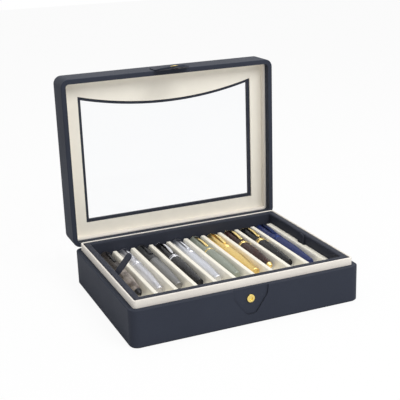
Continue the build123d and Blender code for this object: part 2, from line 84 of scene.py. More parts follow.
class Channel:
    """A socket's value, on which Python's operators add Math nodes."""

    def __init__(self, graph: "Graph", socket: bpy.types.NodeSocket | None) -> None:
        """Wraps a socket of a graph."""
        self.graph = graph
        self.socket = socket

    def math(self, operation: str, *terms: "Channel | float") -> "Channel":
        """Adds a Math node.

        Args:
            operation: the node's operation.
            terms: its inputs in order.

        Returns:
            The node's value.
        """
        settings = {"operation": operation}
        return self.graph.node("ShaderNodeMath", settings, dict(enumerate(terms)))

    def __add__(self, other: "Channel | float") -> "Channel":
        """Sum."""
        return self.math("ADD", self, other)

    def __sub__(self, other: "Channel | float") -> "Channel":
        """Difference."""
        return self.math("SUBTRACT", self, other)

    def __rsub__(self, other: float) -> "Channel":
        """Difference from a plain number."""
        return self.math("SUBTRACT", other, self)

    def __mul__(self, other: "Channel | float") -> "Channel":
        """Product."""
        return self.math("MULTIPLY", self, other)

    def __truediv__(self, other: "Channel | float") -> "Channel":
        """Quotient."""
        return self.math("DIVIDE", self, other)

    def __abs__(self) -> "Channel":
        """Size without sign."""
        return self.math("ABSOLUTE", self)

    def sine(self) -> "Channel":
        """Sine."""
        return self.math("SINE", self)

    def root(self) -> "Channel":
        """Square root."""
        return self.math("SQRT", self)

    def at_least(self, low: float) -> "Channel":
        """The value, or the limit where it is lower."""
        return self.math("MAXIMUM", self, low)

    def at_most(self, high: "Channel | float") -> "Channel":
        """The value, or the limit where it is higher."""
        return self.math("MINIMUM", self, high)

    def above(self, edge: "Channel | float") -> "Channel":
        """1 over the edge, 0 elsewhere."""
        return self.math("GREATER_THAN", self, edge)

    def below(self, edge: float) -> "Channel":
        """1 under the edge, 0 elsewhere."""
        return self.math("LESS_THAN", self, edge)

    __radd__ = __add__
    __rmul__ = __mul__


class Graph:
    """A shader or geometry tree that is filled node by node."""

    def __init__(self, tree: bpy.types.NodeTree) -> None:
        """Takes over a tree."""
        self.tree = tree

    def node(self, kind: str, settings: dict | None = None, inputs: dict | None = None,
             output: int | str = 0) -> Channel:
        """Adds one node.

        Args:
            kind: the node's type.
            settings: its properties; "stops" holds a ramp's (place, colour) pairs.
            inputs: values or channels by the socket's name or number.
            output: the output that is handed back.

        Returns:
            The chosen output.
        """
        node = self.tree.nodes.new(kind)
        for name, value in (settings or {}).items():
            if name == "stops":
                ramp = node.color_ramp.elements
                for place, colour in value[2:]:
                    ramp.new(place)
                for element, (place, colour) in zip(ramp, sorted(value)):
                    element.position = place
                    element.color = (*colour, 1.0)
            else:
                setattr(node, name, value)
        for name, value in (inputs or {}).items():
            if isinstance(value, Channel):
                self.tree.links.new(value.socket, node.inputs[name])
            else:
                node.inputs[name].default_value = value
        return Channel(self, node.outputs[output] if len(node.outputs) else None)

    def axes(self, vector: Channel) -> tuple[Channel, Channel, Channel]:
        """Splits a vector into its three parts."""
        split = self.node("ShaderNodeSeparateXYZ", inputs={0: vector}).socket.node.outputs
        return Channel(self, split[0]), Channel(self, split[1]), Channel(self, split[2])


class Shader(Graph):
    """A material's tree with its surface shader."""

    def __init__(self, name: str, **constants: float | tuple) -> None:
        """Starts a material.

        Args:
            name: the material's name.
            constants: values set on the surface shader's own sockets.
        """
        self.material = bpy.data.materials.new(name)
        self.material.use_nodes = True
        super().__init__(self.material.node_tree)
        self.tree.nodes.clear()
        self.surface = self.tree.nodes.new("ShaderNodeBsdfPrincipled")
        result = Channel(self, self.surface.outputs[0])
        self.node("ShaderNodeOutputMaterial", inputs={"Surface": result})
        for key, value in constants.items():
            self.surface.inputs[key.replace("_", " ")].default_value = value
        self.place = self.node("ShaderNodeTexCoord", output="Object")

    def drive(self, name: str, value: Channel) -> None:
        """Links a varying value to the surface shader's socket of that name."""
        self.tree.links.new(value.socket, self.surface.inputs[name])

    def noise(self, scale: float, detail: float = 4.0, stretch: RGB = (1.0, 1.0, 1.0)) -> Channel:
        """Cloudy noise in the piece's own coordinates.

        Args:
            scale: patches per metre.
            detail: octaves.
            stretch: scale along each axis.

        Returns:
            A value from 0 to 1.
        """
        vector = self.node("ShaderNodeMapping", inputs={"Vector": self.place, "Scale": stretch})
        return self.node("ShaderNodeTexNoise", inputs={
            "Vector": vector, "Scale": scale, "Detail": detail})

    def blend(self, share: Channel, low: RGB, high: RGB) -> Channel:
        """Colour between two, by a share from 0 to 1."""
        inputs = {"Factor": share, 6: (*low, 1.0), 7: (*high, 1.0)}
        return self.node("ShaderNodeMix", {"data_type": "RGBA"}, inputs, 2)

    def mottle(self, share: Channel, colour: RGB, low: float, high: float) -> None:
        """Varies the base colour between two shades of it, by a share from 0 to 1."""
        mixed = self.blend(share, shade(colour, low), shade(colour, high))
        self.drive("Base Color", mixed)

    def bump(self, height: Channel, strength: float, distance: float) -> None:
        """Raises the surface by a height, with a distance in metres."""
        inputs = {"Height": height, "Strength": strength, "Distance": distance}
        self.drive("Normal", self.node("ShaderNodeBump", inputs=inputs))


def shade(colour: RGB, factor: float) -> RGB:
    """A colour made darker or lighter by a factor."""
    return tuple(min(part * factor, 1.0) for part in colour)


@dataclass(frozen=True)
class Leather:
    """Pebbled leather with creases and a slight polish from handling."""

    colour: RGB
    roughness: float = 0.42
    pebble: float = 1.1 * MM
    relief: float = 0.25
    depth: float = 0.12 * MM
    reflection: float = 0.04
    polish: float = 0.02

    def make(self, name: str) -> bpy.types.Material:
        """Builds the leather's material."""
        shader = Shader(name, Specular_IOR_Level=self.reflection, Coat_Roughness=0.35)
        cells = {"Vector": shader.place, "Scale": 1 / self.pebble, "Randomness": 0.9}
        pebbles = shader.node("ShaderNodeTexVoronoi", {"feature": "SMOOTH_F1"}, cells)
        creases = shader.noise(160.0, 6.0)
        cloud = shader.noise(14.0, 3.0)
        shader.mottle(cloud * 0.7 + pebbles * 0.45, self.colour, 1.12, 0.82)
        shader.drive("Roughness", cloud * 0.14 + pebbles * 0.12 + (self.roughness - 0.1))
        shader.drive("Coat Weight", cloud * self.polish)
        shader.bump(creases * 0.35 - pebbles, self.relief, self.depth)
        return shader.material


@dataclass(frozen=True)
class Suede:
    """Brushed suede or felt: mottled, soft-edged and without gloss."""

    colour: RGB
    nap: float = 0.35 * MM
    sheen: float = 0.25
    contrast: float = 0.12
    relief: float = 0.35
    depth: float = 0.12 * MM

    def make(self, name: str) -> bpy.types.Material:
        """Builds the brushed material."""
        shader = Shader(name, Specular_IOR_Level=0.2, Sheen_Weight=self.sheen,
                        Sheen_Roughness=0.5)
        stroke = shader.noise(60.0, 4.0, (1.0, 0.35, 1.0))
        nap = shader.noise(1 / self.nap, 2.0)
        shader.mottle(stroke * 0.8 + nap * 0.2, self.colour, 1 + self.contrast, 1 - self.contrast)
        shader.drive("Roughness", stroke * 0.1 + 0.85)
        shader.bump(nap + stroke * 0.6, self.relief, self.depth)
        return shader.material


@dataclass(frozen=True)
class Board:
    """Bare board with a long grain."""

    colour: RGB
    relief: float = 0.2
    depth: float = 0.1 * MM

    def make(self, name: str) -> bpy.types.Material:
        """Builds the board's material."""
        shader = Shader(name, Specular_IOR_Level=0.3)
        grain = shader.noise(90.0, 6.0, (0.12, 1.0, 1.0))
        shader.mottle(grain, self.colour, 0.7, 1.2)
        shader.drive("Roughness", grain * 0.2 + 0.55)
        shader.bump(grain, self.relief, self.depth)
        return shader.material


@dataclass(frozen=True)
class Metal:
    """Plated or solid metal with faint smudges and fine polishing lines."""

    colour: RGB
    roughness: float = 0.18
    lines: float = 0.05
    depth: float = 0.05 * MM

    def make(self, name: str) -> bpy.types.Material:
        """Builds the metal's material."""
        shader = Shader(name, Metallic=1.0)
        smudge = shader.noise(120.0, 3.0)
        brushed = shader.noise(900.0, 2.0, (1.0, 0.04, 1.0))
        shader.mottle(smudge, self.colour, 0.9, 1.04)
        shader.drive("Roughness", smudge * 0.14 + (self.roughness - 0.05))
        shader.bump(brushed, self.lines, self.depth)
        return shader.material


class Pattern(Enum):
    """What is cut or drawn into a barrel or cap."""

    PLAIN = "plain"
    PINSTRIPE = "pinstripe"
    GUILLOCHE = "guilloche"
    CHEVRON = "chevron"
    MARBLE = "marble"


@dataclass(frozen=True)
class Turned:
    """Surface of a turned pen part, whose pattern runs round the pen's axis."""

    colour: RGB
    second: RGB
    pattern: Pattern = Pattern.PLAIN
    metallic: float = 0.0
    roughness: float = 0.2
    coat: float = 0.02
    turns: int = 36
    pitch: float = 2.4 * MM
    polished_relief: float = 0.02
    cut_relief: float = 0.05
    depth: float = 0.08 * MM

    def make(self, name: str, centre: Vector) -> bpy.types.Material:
        """Builds the material of one turned part.

        Args:
            name: the material's name.
            centre: a point on the pen's axis.

        Returns:
            The finished material.
        """
        shader = Shader(name, Metallic=self.metallic, Coat_Roughness=0.12,
                        Specular_IOR_Level=0.2)
        across, along, up = shader.axes(shader.place)
        angle = up.math("ARCTAN2", up - centre.z, across - centre.x)
        lengthwise = along * (math.tau / self.pitch)
        cloud = shader.noise(180.0, 3.0)
        if self.pattern is Pattern.MARBLE:
            swirl = shader.noise(150.0, 5.0, (1.0, 0.4, 1.0))
            stops = ((0.42, (0.0,) * 3), (0.58, (1.0,) * 3))
            mask = shader.node("ShaderNodeValToRGB", {"stops": stops}, {0: swirl})
        elif self.pattern is Pattern.PINSTRIPE:
            mask = (angle * self.turns).sine() * 0.5 + 0.5
        elif self.pattern is Pattern.GUILLOCHE:
            first = (angle * self.turns + lengthwise).sine()
            other = (angle * self.turns - lengthwise).sine()
            mask = first * other * 0.5 + 0.5
        elif self.pattern is Pattern.CHEVRON:
            fold = abs((angle * (self.turns / 4)).sine()) * 3.0
            mask = (lengthwise + fold).sine() * 0.5 + 0.5
        else:
            mask = cloud
        shader.drive("Base Color", shader.blend(mask, self.colour, self.second))
        shader.drive("Roughness", cloud * 0.1 + mask * 0.08 + (self.roughness - 0.05))
        if not self.metallic:
            shader.drive("Coat Weight", cloud * 0.08 + self.coat)
        uncut = self.pattern in (Pattern.PLAIN, Pattern.MARBLE)
        shader.bump(mask, self.polished_relief if uncut else self.cut_relief, self.depth)
        return shader.material


@dataclass(frozen=True)
class WindowGlass:
    """Clear glass with a few faint wipe marks."""

    def make(self, name: str) -> bpy.types.Material:
        """Builds the glass."""
        shader = Shader(name, Transmission_Weight=1.0, IOR=1.12)
        marks = shader.noise(9.0, 3.0)
        shader.drive("Base Color", shader.blend(marks, (0.965, 0.972, 0.985), (0.985, 0.99, 0.995)))
        shader.drive("Roughness", marks * 0.012)
        return shader.material


class Stock(Enum):
    """Finishes that more than one piece shares."""

    NAVY = Leather(linear(55, 59, 70), roughness=0.46)
    RIM = Leather(linear(55, 58, 68), roughness=0.38)
    LINING = Leather(linear(24, 26, 34), roughness=0.62, pebble=0.8 * MM, relief=0.15)
    CREAM = Leather(linear(240, 234, 225), roughness=0.58, pebble=0.8 * MM, relief=0.16)
    PANEL = Suede(linear(243, 238, 226), contrast=0.06, sheen=0.1)
    SUEDE = Suede(linear(243, 238, 224))
    FELT = Suede(linear(36, 36, 42), contrast=0.2)
    # The board is darkened to a painted shade. It shows only through gaps between leather pieces,
    # such as round the clasp recess, and stands in for the shadow there.
    BOARD_PAINTED_SHADE = Board(linear(40, 36, 36))
    BRASS = Metal(linear(240, 214, 128), roughness=0.2)
    GOLD = Metal(linear(246, 218, 146), roughness=0.16)
    CHROME = Metal(linear(214, 214, 218), roughness=0.12)
    STEEL = Metal(linear(170, 170, 172), roughness=0.3, lines=0.1)
    BLACK = Metal(linear(58, 58, 60), roughness=0.3)
    BLUE = Metal(linear(48, 62, 112), roughness=0.28)
    GLASS = WindowGlass()


class Workshop:
    """Keeps each shared material once and puts finishes on nodes."""

    def __init__(self) -> None:
        """Starts with no material made."""
        self.made: dict[Stock, bpy.types.Material] = {}

    def stock(self, finish: Stock) -> bpy.types.Material:
        """Material of a shared finish, made on its first use."""
        if finish not in self.made:
            self.made[finish] = finish.value.make(f"finish_{finish.name.lower()}")
        return self.made[finish]

    def dress(self, material: bpy.types.Material, *nodes: str) -> None:
        """Puts a material on CAD nodes.

        Args:
            material: what they are made of.
            nodes: their names.
        """
        for name in nodes:
            piece = frame["nodes"][name]
            if not piece.material_slots:
                piece.data.materials.append(material)
            for place in piece.material_slots:
                place.material = material
            log.info("dressed %s with %s", name, material.name)


class Recipe(Graph):
    """A Geometry Nodes tree with named inputs, applied to a blank mesh."""

    def __init__(self, name: str, inputs: dict[str, str]) -> None:
        """Starts the tree.

        Args:
            name: the tree's name.
            inputs: each input's name and socket type.
        """
        tree = bpy.data.node_groups.new(name, "GeometryNodeTree")
        super().__init__(tree)
        for label, kind in inputs.items():
            tree.interface.new_socket(label, in_out="INPUT", socket_type=kind)
        tree.interface.new_socket("Geometry", in_out="OUTPUT", socket_type="NodeSocketGeometry")
        self.entry = tree.nodes.new("NodeGroupInput")

    def value(self, name: str) -> Channel:
        """The tree's own input of that name."""
        return Channel(self, self.entry.outputs[name])

    def close(self, geometry: Channel, material: Channel) -> None:
        """Ends the tree: instances made real, material set, geometry handed out."""
        real = self.node("GeometryNodeRealizeInstances", inputs={0: geometry})
        inputs = {"Geometry": real, "Material": material}
        covered = self.node("GeometryNodeSetMaterial", inputs=inputs)
        self.node("NodeGroupOutput", inputs={0: covered})

    def run(self, name: str, values: dict[str, object]) -> bpy.types.Object:
        """Runs the tree once and turns its result into a plain mesh.

        Args:
            name: the new piece's name.
            values: the inputs' values by name.

        Returns:
            The finished piece.
        """
        blank = bpy.data.objects.new(name, bpy.data.meshes.new(f"{name}_blank"))
        bpy.context.scene.collection.objects.link(blank)
        modifier = blank.modifiers.new("recipe", "NODES")
        modifier.node_group = self.tree
        for item in self.tree.interface.items_tree:
            if item.in_out == "INPUT" and item.name in values:
                modifier[item.identifier] = values[item.name]
        shown = blank.evaluated_get(bpy.context.evaluated_depsgraph_get())
        mesh = bpy.data.meshes.new_from_object(shown)
        blank.modifiers.clear()
        blank.data = mesh
        mesh.name = name
        mesh.shade_smooth()
        log.info("made %s with %d faces", name, len(mesh.polygons))
        return blank


@dataclass
class Base:
    """Leather-covered base with its lip, well, hinge leaves and snap socket."""

    shop: Workshop

    def dress(self) -> None:
        """Dresses the base's nodes."""
        dress, stock = self.shop.dress, self.shop.stock
        dress(stock(Stock.NAVY), "base_leather", "clasp_inlay")
        dress(stock(Stock.BOARD_PAINTED_SHADE), "base_frame", "base_bottom")
        dress(stock(Stock.CREAM), "lip_liner")
        dress(stock(Stock.LINING), "well_floor", "tray_ledge")
        dress(stock(Stock.FELT), "base_felt")
        dress(stock(Stock.BRASS), "snap_socket", "base_leaf", "base_screw")
        dress(stock(Stock.STEEL), "hinge_pin")


def prism(name: str, section: list[Vector], half: float,
          material: bpy.types.Material) -> bpy.types.Object:
    """Draws a strip: one section carried across from left to right.

    Args:
        name: the new piece's name.
        section: the upper line, then the lower line backwards, of as many points each.
        half: half the strip's width.
        material: what it is made of.

    Returns:
        The strip as one closed mesh.
    """
    shape = bmesh.new()
    ends = [[shape.verts.new((side * half, point.y, point.z)) for point in section]
            for side in (-1, 1)]
    left, right = ends
    last = len(section) - 1
    for index in range(len(section)):
        after = (index + 1) % len(section)
        shape.faces.new((left[index], left[after], right[after], right[index]))
    for end in ends:
        for index in range(len(section) // 2 - 1):
            under = last - index
            shape.faces.new((end[index], end[index + 1], end[under - 1], end[under]))
    bmesh.ops.recalc_face_normals(shape, faces=shape.faces)
    mesh = bpy.data.meshes.new(name)
    shape.to_mesh(mesh)
    shape.free()
    mesh.materials.append(material)
    mesh.shade_smooth()
    mesh.set_sharp_from_angle(angle=CREASE_ANGLE)
    strip = bpy.data.objects.new(name, mesh)
    bpy.context.scene.collection.objects.link(strip)
    return strip


@dataclass
class Lid:
    """Window lid with its linings, sash, glass and clasp tongue; sizes in millimetres."""

    shop: Workshop
    skin_reach: float = 5.0
    skin_rise: float = 0.22
    skin_sink: float = 0.1
    skin_depth: float = 0.3
    skin_bend: float = 1.2
    skin_inset: float = 0.5
    skin_steps: int = 12
    tongue_lift: float = 15.0

    def dress(self) -> None:
        """Dresses the lid's and the tongue's nodes."""
        dress, stock = self.shop.dress, self.shop.stock
        dress(stock(Stock.NAVY), "lid_leather", "lid_rim", "tongue")
        dress(stock(Stock.RIM), "window_sash")
        dress(stock(Stock.CREAM), "lid_liner")
        dress(stock(Stock.PANEL), "lid_panel")
        dress(stock(Stock.BOARD_PAINTED_SHADE), "lid_frame")
        dress(stock(Stock.LINING), "lid_board")
        dress(stock(Stock.GLASS), "window_glass")
        dress(stock(Stock.BRASS), "lid_leaf", "lid_screw", "tongue_cap", "tongue_stud")
        self.fold_skin()

    def skin_section(self, fold: Vector) -> list[Vector]:
        """Section of the skin, whose ends fade into the lid and the tongue.

        Args:
            fold: a point on the tongue's hinge line.

        Returns:
            The upper line from the tongue to the lid, then the lower line back.
        """
        lift = math.radians(self.tongue_lift)
        on_lid = Vector((0.0, 1.0, 0.0))
        on_tongue = Vector((0.0, math.cos(lift), -math.sin(lift)))
        over, under = [], []
        for step in range(-self.skin_steps, self.skin_steps + 1):
            share = step / self.skin_steps
            turned = 0.5 - share * self.skin_reach / 2 / self.skin_bend
            angle = lift * min(max(turned, 0.0), 1.0)
            normal = Vector((0.0, math.sin(angle), math.cos(angle)))
            along = on_lid if share > 0 else on_tongue
            spot = fold + along * (share * self.skin_reach * MM)
            fade = share ** 4
            rise = self.skin_rise * (1 - fade) - self.skin_sink * fade
            over.append(spot + normal * (rise * MM))
            under.append(spot - normal * (self.skin_depth * MM))
        return over + under[::-1]

    def fold_skin(self) -> None:
        """Lays the thin leather that bends where the tongue leaves the lid."""
        joints = frame["record"]["behaviour"]["joints"]
        fold = Vector(next(joint["pos_m"] for joint in joints if joint["name"] == "flap_fold"))
        low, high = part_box("tongue")
        half = (high.x - low.x) / 2 - self.skin_inset * MM
        leather = self.shop.stock(Stock.NAVY)
        skin = prism("tongue_fold", self.skin_section(fold), half, leather)
        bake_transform(skin)


@dataclass
class Tray:
    """Lift-out tray with its suede pen rest and two pull tabs; sizes in millimetres."""

    shop: Workshop
    pitch: float = 25.5
    radius: float = 8.5
    flare: float = 12.0
    bed: float = 4.8
    crest: float = 3.0
    end_round: float = 3.0
    softness: float = 0.12
    end_drop: float = 0.6
    top_play: float = 0.05
    cloud_scale: float = 0.09
    slot_half: float = 8.0
    slot_width: float = 2.9
    slot_floor: float = 0.6
    channels: int = 10
    across: int = 520
    along: int = 56

    def dress(self) -> None:
        """Dresses the tray's nodes and lays the suede rest in."""
        dress, stock = self.shop.dress, self.shop.stock
        dress(stock(Stock.RIM), "tray_frame", "tab_left", "tab_right")
        dress(stock(Stock.BOARD_PAINTED_SHADE), "tray_floor")
        rest = self.suede_rest()
        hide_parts("pen_rest")
        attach(rest, "tray")

    def suede_rest(self) -> bpy.types.Object:
        """Suede rest: a block whose top follows the channels' rule.

        Returns:
            The rest as one closed mesh.
        """
        low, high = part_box("pen_rest")
        recipe = Recipe("suede_rest", {
            "Low": "NodeSocketVector", "High": "NodeSocketVector", "Pitch": "NodeSocketFloat",
            "Radius": "NodeSocketFloat", "Bed": "NodeSocketFloat", "Crest": "NodeSocketFloat",
            "Softness": "NodeSocketFloat", "Material": "NodeSocketMaterial",
        })
        near, far = recipe.axes(recipe.value("Low")), recipe.axes(recipe.value("High"))
        pitch, radius = recipe.value("Pitch"), recipe.value("Radius")
        block = recipe.node("GeometryNodeMeshCube", inputs={
            0: (2.0, 2.0, 2.0), 1: self.across, 2: self.along, 3: 2})
        side, length, height = recipe.axes(recipe.node("GeometryNodeInputPosition"))
        x = side * far[0]
        swing = (length * (math.pi / 2)).sine()
        half_length = (far[1] - near[1]) / 2
        y = (near[1] + far[1]) / 2 + swing * half_length
        reach = abs(x).at_most(pitch * (self.channels / 2))
        offset = pitch / 2 - x.math("PINGPONG", reach, pitch / 2)
        flare = math.radians(self.flare)
        edge = radius * math.cos(flare)
        floor = near[2] + recipe.value("Bed")
        axis = floor + radius
        bowl = axis - (radius * radius - offset * offset).at_least(0.0).root()
        wall = axis - radius * math.sin(flare) + (offset - edge) / math.tan(flare)
        outside = offset.above(edge)
        profile = bowl * (1 - outside) + wall * outside
        crest = far[2] - self.top_play
        top = profile.math("SMOOTH_MIN", profile, crest, recipe.value("Crest"))
        gap = ((1 - abs(swing)) * half_length) / self.end_round
        inset = 1 - gap.at_most(1.0)
        rounding = (1 - inset * inset).root()
        top = floor + (top - floor) * (rounding * self.end_drop + (1 - self.end_drop))
        spot = recipe.node("ShaderNodeCombineXYZ", inputs={0: x, 1: y, 2: 0.0})
        cloud = recipe.node("ShaderNodeTexNoise", inputs={
            "Vector": spot, "Scale": self.cloud_scale, "Detail": 2.0})
        top = top - cloud * recipe.value("Softness")
        in_slot = x.above(far[0] - self.slot_width) * abs(y).below(self.slot_half)
        top = top * (1 - in_slot) + (near[2] + self.slot_floor) * in_slot
        upper = height.above(0.0)
        z = top * upper + near[2] * (1 - upper)
        place = recipe.node("ShaderNodeCombineXYZ", inputs={0: x * MM, 1: y * MM, 2: z * MM})
        shaped = recipe.node("GeometryNodeSetPosition", inputs={
            "Geometry": block, "Position": place})
        recipe.close(shaped, recipe.value("Material"))
        return recipe.run("suede_rest", {
            "Low": tuple(low / MM), "High": tuple(high / MM), "Pitch": self.pitch,
            "Radius": self.radius, "Bed": self.bed, "Crest": self.crest,
            "Softness": self.softness, "Material": self.shop.stock(Stock.SUEDE)})


def band_recipe() -> Recipe:
    """Tree that sets a row of thin rings along a pen's axis.

    Returns:
        The tree, ready to run for each pen.
    """
    recipe = Recipe("cap_bands", {
        "Centre": "NodeSocketVector", "Radius": "NodeSocketFloat", "Wire": "NodeSocketFloat",
        "Count": "NodeSocketInt", "Spacing": "NodeSocketVector", "Material": "NodeSocketMaterial"})
    loop = recipe.node("GeometryNodeCurvePrimitiveCircle", inputs={
        "Resolution": 40, "Radius": recipe.value("Radius")})
    wire = recipe.node("GeometryNodeCurvePrimitiveCircle", inputs={
        "Resolution": 8, "Radius": recipe.value("Wire")})
    ring = recipe.node("GeometryNodeCurveToMesh", inputs={"Curve": loop, "Profile Curve": wire})
    stood = recipe.node("GeometryNodeTransform", inputs={
        "Geometry": ring, "Rotation": (math.pi / 2, 0.0, 0.0)})
    row = recipe.node("GeometryNodeMeshLine", inputs={
        "Count": recipe.value("Count"), "Start Location": recipe.value("Centre"),
        "Offset": recipe.value("Spacing")})
    rings = recipe.node("GeometryNodeInstanceOnPoints", inputs={"Points": row, "Instance": stood})
    recipe.close(rings, recipe.value("Material"))
    return recipe


def clip_recipe() -> Recipe:
    """Tree that bends one tapered clip over a cap, with a ball at its tip.

    Returns:
        The tree, ready to run for each pen.
    """
    recipe = Recipe("bowed_clip", {
        "Root": "NodeSocketVector", "Bow": "NodeSocketVector", "Tip": "NodeSocketVector",
        "Width": "NodeSocketFloat", "Flatness": "NodeSocketFloat", "Taper": "NodeSocketFloat",
        "Ball": "NodeSocketFloat", "Material": "NodeSocketMaterial"})
    path = recipe.node("GeometryNodeCurveQuadraticBezier", inputs={
        "Resolution": 22, "Start": recipe.value("Root"), "Middle": recipe.value("Bow"),
        "End": recipe.value("Tip")})
    level = recipe.node("GeometryNodeSetCurveNormal", {"mode": "Z_UP"}, {"Curve": path})
    along = recipe.node("GeometryNodeSplineParameter")
    thin = 1 - along * recipe.value("Taper")
    tapered = recipe.node("GeometryNodeSetCurveRadius", inputs={"Curve": level, "Radius": thin})
    round_bar = recipe.node("GeometryNodeCurvePrimitiveCircle", inputs={
        "Resolution": 12, "Radius": recipe.value("Width")})
    squeeze = recipe.node("ShaderNodeCombineXYZ", inputs={
        0: 1.0, 1: recipe.value("Flatness"), 2: 1.0})
    bar = recipe.node("GeometryNodeTransform", inputs={
        "Geometry": round_bar, "Scale": squeeze})
    swept = recipe.node("GeometryNodeCurveToMesh", inputs={
        "Curve": tapered, "Profile Curve": bar, "Fill Caps": True})
    ball = recipe.node("GeometryNodeMeshUVSphere", inputs={
        "Segments": 16, "Rings": 10, "Radius": recipe.value("Ball")})
    hung = recipe.node("GeometryNodeTransform", inputs={
        "Geometry": ball, "Translation": recipe.value("Tip")})
    join = recipe.tree.nodes.new("GeometryNodeJoinGeometry")
    recipe.tree.links.new(swept.socket, join.inputs[0])
    recipe.tree.links.new(hung.socket, join.inputs[0])
    recipe.close(Channel(recipe, join.outputs[0]), recipe.value("Material"))
    return recipe


def highest_island(shape: bmesh.types.BMesh) -> list[bmesh.types.BMVert]:
    """Finds the loose part of a mesh that reaches highest.

    Args:
        shape: a mesh whose doubles are merged.

    Returns:
        Every vertex of that part.
    """
    found = {max(shape.verts, key=lambda vertex: vertex.co.z)}
    edge = list(found)
    while edge:
        near = {link.other_vert(vertex) for vertex in edge for link in vertex.link_edges}
        edge = list(near - found)
        found |= near
    return list(found)


@dataclass(frozen=True)
class Clip:
    """Shape of a pen's clip; sizes in millimetres, the rest as shares."""

    bow: float
    ball: float
    width: float
    spread: float = 1.2
    flatness: float = 0.42
    taper: float = 0.38
    root_inset: float = 0.3
    root_drop: float = 0.28
    bow_place: float = 0.7
    tip_gap: float = 0.5

    def values(self, middle: Vector, radius: float, back: float, front: float) -> dict[str, object]:
        """Works out the inputs of the clip's tree.

        Args:
            middle: the cap's centre.
            radius: the cap's radius.
            back: where the clip starts along the pen.
            front: where it ends.

        Returns:
            The inputs by name, but for the material.
        """
        top = middle.z + radius
        bow_y = back * self.bow_place + front * (1 - self.bow_place)
        return {
            "Root": (middle.x, back + self.root_inset * MM, top - self.root_drop * radius),
            "Bow": (middle.x, bow_y, top + 2 * self.bow * MM),
            "Tip": (middle.x, front, top + self.tip_gap * MM),
            "Width": self.width * MM * self.spread, "Flatness": self.flatness,
            "Taper": self.taper, "Ball": self.ball * MM}


@dataclass
class Pen:
    """One pen: what its cap, barrel and trim are made of, its bands and its clip."""

    shop: Workshop
    number: int
    cap: Turned
    barrel: Turned
    trim: Stock
    trim_slot: str
    bands: int
    clip: Clip
    spacing: float = 1.5 * MM
    wire: float = 0.22 * MM
    name: str = field(init=False)

    def __post_init__(self) -> None:
        """Works out the pen's name."""
        self.name = f"pen_{self.number:02d}"

    def fittings(self, recipe: Recipe) -> None:
        """Makes the pen's ring, finial and nose again, with a clip that bows over the cap.

        Args:
            recipe: the tree that bends a clip.
        """
        node = f"{self.name}_trim"
        shape = bmesh.new()
        shape.from_mesh(frame["nodes"][node].data)
        bmesh.ops.remove_doubles(shape, verts=shape.verts, dist=SAME_POINT)
        plain_clip = highest_island(shape)
        span = [vertex.co.y for vertex in plain_clip]
        bmesh.ops.delete(shape, geom=plain_clip, context="VERTS")
        low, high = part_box(f"{self.name}_cap")
        middle, radius = (low + high) / 2, (high.x - low.x) / 2
        metal = self.shop.stock(self.trim)
        values = self.clip.values(middle, radius, max(span), min(span))
        piece = recipe.run(f"{self.name}_fittings", {**values, "Material": metal})
        mesh = piece.data
        shape.from_mesh(mesh)
        shape.to_mesh(mesh)
        shape.free()
        mesh.materials.clear()
        mesh.materials.append(metal)
        mesh.polygons.foreach_set("material_index", [0] * len(mesh.polygons))
        mesh.shade_smooth()
        mesh.set_sharp_from_angle(angle=CREASE_ANGLE)
        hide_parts(node)
        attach(piece, self.name)

    def dress(self, recipe: Recipe, clips: Recipe) -> None:
        """Dresses the pen and adds its bands and fittings.

        Args:
            recipe: the tree that makes a row of bands.
            clips: the tree that bends a clip.
        """
        self.fittings(clips)
        low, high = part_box(f"{self.name}_barrel")
        centre = (low + high) / 2
        for part, finish in (("cap", self.cap), ("barrel", self.barrel)):
            material = finish.make(f"{self.name}_{part}_finish", centre)
            self.shop.dress(material, f"{self.name}_{part}")
        if not self.bands:
            return
        low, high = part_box(f"{self.name}_cap")
        ring = recipe.run(f"{self.name}_bands", {
            "Centre": (centre.x, low.y + self.spacing, centre.z),
            "Radius": (high.x - low.x) / 2, "Wire": self.wire,
            "Count": self.bands, "Spacing": (0.0, self.spacing, 0.0),
            "Material": self.shop.stock(self.trim)})
        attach(ring, self.name)


